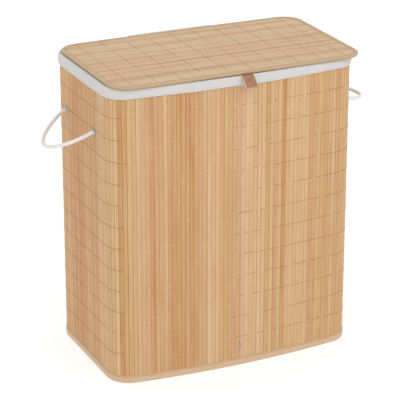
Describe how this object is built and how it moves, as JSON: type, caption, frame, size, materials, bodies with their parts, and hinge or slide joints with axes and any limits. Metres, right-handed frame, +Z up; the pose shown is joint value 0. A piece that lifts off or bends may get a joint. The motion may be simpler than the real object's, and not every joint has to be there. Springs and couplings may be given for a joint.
{
  "type": "laundry hamper with lid",
  "caption": "Rounded rectangular laundry hamper of upright bamboo slats with a hanging cotton liner, rope handles and a flat slatted lid on a cloth hinge with a leather pull tab.",
  "frame": {"origin": "middle of the footprint, on the floor", "axes": "+Z up, +X to the right seen from the front, the front is at -Y"},
  "size_m": [0.6985, 0.3663, 0.625],
  "materials": {
    "bamboo_wall": "satin varnished bamboo slats",
    "bamboo_lid": "satin varnished bamboo slats",
    "brown_thread": "twisted weaving thread",
    "backing_cloth": "plain woven backing",
    "binding_tape": "fine ribbed binding tape",
    "white_cotton": "plain weave cotton",
    "cotton_rope": "braided cotton rope",
    "tan_leather": "smooth matt leather",
    "zinc_steel": "zinc plated",
    "fibreboard": "pressed fibreboard"
  },
  "bodies": {
    "basket": {"front_slats": "bamboo_wall", "back_slats": "bamboo_wall", "left_slats": "bamboo_wall", "right_slats": "bamboo_wall", "wall_threads": "brown_thread", "wall_backing": "backing_cloth", "back_seam_tape": "binding_tape", "top_edge_tape": "binding_tape", "bottom_hem_tape": "binding_tape", "rim_hoop": "zinc_steel", "base_board": "fibreboard", "base_cover": "backing_cloth", "base_brace": "zinc_steel", "brace_rivets": "zinc_steel", "rivet_washers": "zinc_steel", "liner_bag": "white_cotton", "liner_cuff": "white_cotton", "eyelets": "zinc_steel", "eyelet_washers": "zinc_steel", "left_rope_knots": "cotton_rope", "right_rope_knots": "cotton_rope", "hinge_wall_leaf": "white_cotton"},
    "lid": {"hinge_lid_leaf": "white_cotton", "lid_slats": "bamboo_lid", "lid_threads": "brown_thread", "lid_board": "fibreboard", "lid_lining": "white_cotton", "lid_binding": "binding_tape", "tab_anchor": "tan_leather"},
    "tab": {"pull_tab": "tan_leather"},
    "left_handle": {"left_rope_handle": "cotton_rope"},
    "right_handle": {"right_rope_handle": "cotton_rope"}
  },
  "joints": [
    {"name": "lid_hinge", "type": "hinge", "parent": "basket", "child": "lid", "pos_m": [0, 0.1742, 0.619], "axis": [-1, 0, 0], "range_deg": [0, 255]},
    {"name": "tab_flex", "type": "hinge", "parent": "lid", "child": "tab", "pos_m": [0.011, -0.1727, 0.6184], "axis": [-1, 0, 0], "range_deg": [0, 110]},
    {"name": "left_handle_swing", "type": "hinge", "parent": "basket", "child": "left_handle", "pos_m": [-0.27195, 0.011, 0.509], "axis": [0, 1, 0], "range_deg": [0, 100]},
    {"name": "right_handle_swing", "type": "hinge", "parent": "basket", "child": "right_handle", "pos_m": [0.27195, -0.01, 0.509], "axis": [0, -1, 0], "range_deg": [0, 85]}
  ]
}
